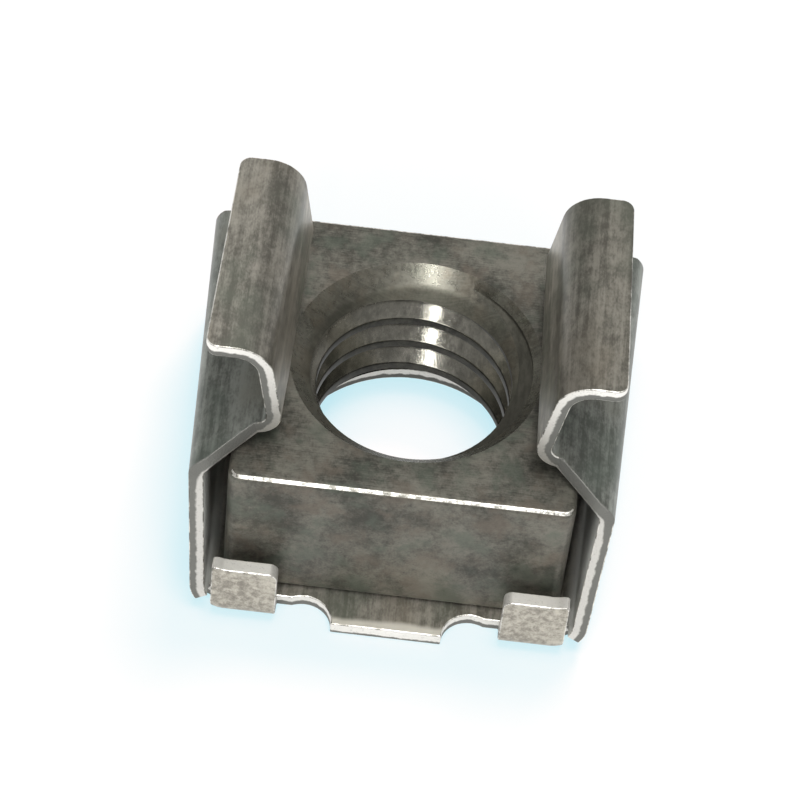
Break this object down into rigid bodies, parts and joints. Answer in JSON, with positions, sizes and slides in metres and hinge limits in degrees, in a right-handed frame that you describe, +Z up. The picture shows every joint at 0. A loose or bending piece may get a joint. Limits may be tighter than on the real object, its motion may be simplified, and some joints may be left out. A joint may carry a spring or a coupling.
{
  "type": "rack cage nut",
  "caption": "Square nut held loosely in a folded spring steel cage, whose ears clip it into the square hole of a rack rail.",
  "frame": {"origin": "centre of the cage floor's underside, on the thread's axis", "axes": "+Z up along the thread towards the ears, +X from wall to wall, +Y along the ears towards the back, where the walls stand open"},
  "size_m": [0.015, 0.0142, 0.011],
  "materials": {
    "spring_steel": "oiled grey-brown strip, bare at its cut edges",
    "nut_steel": "dark machined steel with bright rounded edges"
  },
  "bodies": {
    "root": {"cage": "spring_steel", "square_nut": "nut_steel"}
  },
  "joints": []
}
